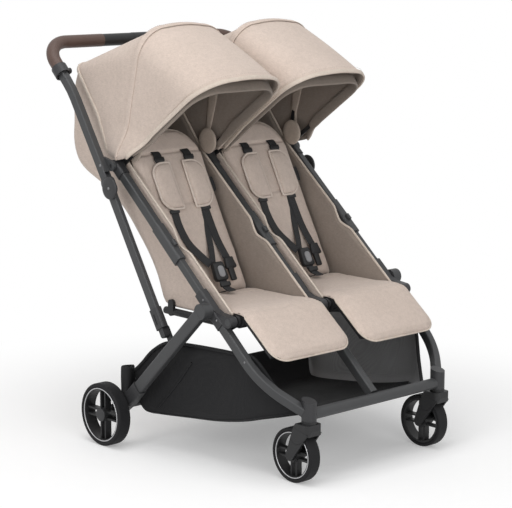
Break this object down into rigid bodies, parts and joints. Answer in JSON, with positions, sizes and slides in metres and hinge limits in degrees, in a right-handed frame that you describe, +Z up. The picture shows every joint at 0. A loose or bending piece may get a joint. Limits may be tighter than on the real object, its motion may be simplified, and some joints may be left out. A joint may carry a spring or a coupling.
{
  "type": "side by side double stroller",
  "caption": "Folding side-by-side stroller with paired reclining seats, pivoting hoods, tilting leg rests, a shared basket and sprung swivelling front casters.",
  "frame": {"origin": "on the floor, under the middle of the overall box", "axes": "+Z up, +X towards the child's left, -Y the way the stroller faces"},
  "size_m": [0.757, 0.902, 1.0356],
  "materials": {
    "frame": "satin powder coat",
    "plastic": "matte moulded",
    "cloth": "heathered woven",
    "dark_cloth": "plain woven",
    "tread": "matte",
    "steel": "brushed",
    "leather": "grained",
    "button": "satin"
  },
  "bodies": {
    "front_frame": {"front_leg_left": "frame", "front_leg_right": "frame", "front_leg_centre": "frame", "front_tubes": "frame", "tube_sleeves": "plastic", "frame_brackets": "plastic", "front_crossbar": "frame", "caster_housings": "plastic", "knee_crossbar": "frame", "under_seat_rails": "plastic", "seat_pads": "cloth", "seat_tub_left": "cloth", "seat_tub_right": "cloth", "crotch_buckles": "plastic", "basket": "dark_cloth", "hood_back_left": "cloth", "hood_back_right": "cloth"},
    "handle": {"handle_arms": "frame", "handle_core": "steel", "handle_grips": "leather", "handle_middle": "plastic", "handle_collars": "plastic"},
    "release": {"release_button": "button"},
    "links": {"link_tubes": "frame", "link_ends": "plastic"},
    "rear_frame": {"rear_legs": "frame", "rear_beam": "frame", "rear_feet": "plastic", "rear_axles": "steel"},
    "brake": {"brake_pedal": "plastic"},
    "rear_wheel_left": {"rear_tyre_left": "tread", "rear_rim_left": "plastic"},
    "caster_left": {"caster_fork_left": "plastic"},
    "swing_left": {"swing_arm_left": "plastic"},
    "front_wheel_left": {"front_tyre_left": "tread", "front_rim_left": "plastic"},
    "leg_rest_left": {"leg_rest_frame_left": "plastic", "leg_rest_pad_left": "cloth"},
    "seat_back_left": {"back_board_left": "plastic", "back_pad_left": "cloth", "harness_left": "dark_cloth"},
    "hood_left": {"hood_bow_left": "plastic", "hood_front_left": "cloth"},
    "brim_left": {"brim_bow_left": "plastic"},
    "rear_wheel_right": {"rear_tyre_right": "tread", "rear_rim_right": "plastic"},
    "caster_right": {"caster_fork_right": "plastic"},
    "swing_right": {"swing_arm_right": "plastic"},
    "front_wheel_right": {"front_tyre_right": "tread", "front_rim_right": "plastic"},
    "leg_rest_right": {"leg_rest_frame_right": "plastic", "leg_rest_pad_right": "cloth"},
    "seat_back_right": {"back_board_right": "plastic", "back_pad_right": "cloth", "harness_right": "dark_cloth"},
    "hood_right": {"hood_bow_right": "plastic", "hood_front_right": "cloth"},
    "brim_right": {"brim_bow_right": "plastic"}
  },
  "joints": [
    {"name": "handle_fold", "type": "hinge", "parent": "front_frame", "child": "handle", "pos_m": [0, 0.17717, 0.69597], "axis": [1, 0, 0], "range_deg": [0, 130]},
    {"name": "link_turn", "type": "hinge", "parent": "handle", "child": "links", "pos_m": [0, 0.16917, 0.64097], "axis": [-1, 0, 0], "range_deg": [0, 135]},
    {"name": "rear_fold", "type": "hinge", "parent": "front_frame", "child": "rear_frame", "pos_m": [0, -0.177, 0.387], "axis": [1, 0, 0], "range_deg": [0, 38]},
    {"name": "release_press", "type": "slide", "parent": "handle", "child": "release", "axis": [0, 0, 1], "range_m": [0, 0.003], "stiffness_N_per_m": 400, "springref_m": -0.004},
    {"name": "brake_press", "type": "hinge", "parent": "rear_frame", "child": "brake", "pos_m": [0, 0.1235, 0.1047], "axis": [-1, 0, 0], "range_deg": [0, 18]},
    {"name": "rear_wheel_spin_left", "type": "hinge", "parent": "rear_frame", "child": "rear_wheel_left", "pos_m": [0.3605, 0.156, 0.0792], "axis": [1, 0, 0], "continuous": true},
    {"name": "caster_swivel_left", "type": "hinge", "parent": "front_frame", "child": "caster_left", "pos_m": [0.221, -0.4274, 0.168], "axis": [0, 0, 1], "continuous": true},
    {"name": "suspension_left", "type": "hinge", "parent": "caster_left", "child": "swing_left", "pos_m": [0.221, -0.4094, 0.1206], "axis": [1, 0, 0], "range_deg": [0, 6], "stiffness_Nm_per_rad": 20, "springref_deg": -20.05},
    {"name": "front_wheel_spin_left", "type": "hinge", "parent": "swing_left", "child": "front_wheel_left", "pos_m": [0.221, -0.3854, 0.0656], "axis": [1, 0, 0], "continuous": true},
    {"name": "leg_rest_tilt_left", "type": "hinge", "parent": "front_frame", "child": "leg_rest_left", "pos_m": [0.1485, -0.24213, 0.36734], "axis": [-1, 0, 0], "range_deg": [0, 38]},
    {"name": "seat_back_recline_left", "type": "hinge", "parent": "front_frame", "child": "seat_back_left", "pos_m": [0.1485, -0.007, 0.374], "axis": [-1, 0, 0], "range_deg": [0, 12]},
    {"name": "hood_fold_left", "type": "hinge", "parent": "front_frame", "child": "hood_left", "pos_m": [0.1485, 0.17717, 0.69597], "axis": [-1, 0, 0], "range_deg": [0, 40], "deforming": ["hood_back_left"]},
    {"name": "brim_fold_left", "type": "hinge", "parent": "hood_left", "child": "brim_left", "pos_m": [0.1485, 0.17717, 0.69597], "axis": [-1, 0, 0], "range_deg": [0, 33], "deforming": ["hood_front_left"]},
    {"name": "rear_wheel_spin_right", "type": "hinge", "parent": "rear_frame", "child": "rear_wheel_right", "pos_m": [-0.3605, 0.156, 0.0792], "axis": [1, 0, 0], "continuous": true},
    {"name": "caster_swivel_right", "type": "hinge", "parent": "front_frame", "child": "caster_right", "pos_m": [-0.221, -0.4274, 0.168], "axis": [0, 0, 1], "continuous": true},
    {"name": "suspension_right", "type": "hinge", "parent": "caster_right", "child": "swing_right", "pos_m": [-0.221, -0.4094, 0.1206], "axis": [1, 0, 0], "range_deg": [0, 6], "stiffness_Nm_per_rad": 20, "springref_deg": -20.05},
    {"name": "front_wheel_spin_right", "type": "hinge", "parent": "swing_right", "child": "front_wheel_right", "pos_m": [-0.221, -0.3854, 0.0656], "axis": [1, 0, 0], "continuous": true},
    {"name": "leg_rest_tilt_right", "type": "hinge", "parent": "front_frame", "child": "leg_rest_right", "pos_m": [-0.1485, -0.24213, 0.36734], "axis": [-1, 0, 0], "range_deg": [0, 38]},
    {"name": "seat_back_recline_right", "type": "hinge", "parent": "front_frame", "child": "seat_back_right", "pos_m": [-0.1485, -0.007, 0.374], "axis": [-1, 0, 0], "range_deg": [0, 12]},
    {"name": "hood_fold_right", "type": "hinge", "parent": "front_frame", "child": "hood_right", "pos_m": [-0.1485, 0.17717, 0.69597], "axis": [-1, 0, 0], "range_deg": [0, 40], "deforming": ["hood_back_right"]},
    {"name": "brim_fold_right", "type": "hinge", "parent": "hood_right", "child": "brim_right", "pos_m": [-0.1485, 0.17717, 0.69597], "axis": [-1, 0, 0], "range_deg": [0, 33], "deforming": ["hood_front_right"]}
  ],
  "couplings": [
    {"joint": "link_turn", "follows": "handle_fold", "ratio": 1.0131},
    {"joint": "rear_fold", "follows": "handle_fold", "ratio": 0.27354},
    {"joint": "brim_fold_left", "follows": "hood_fold_left", "ratio": 0.8},
    {"joint": "brim_fold_right", "follows": "hood_fold_right", "ratio": 0.8}
  ]
}
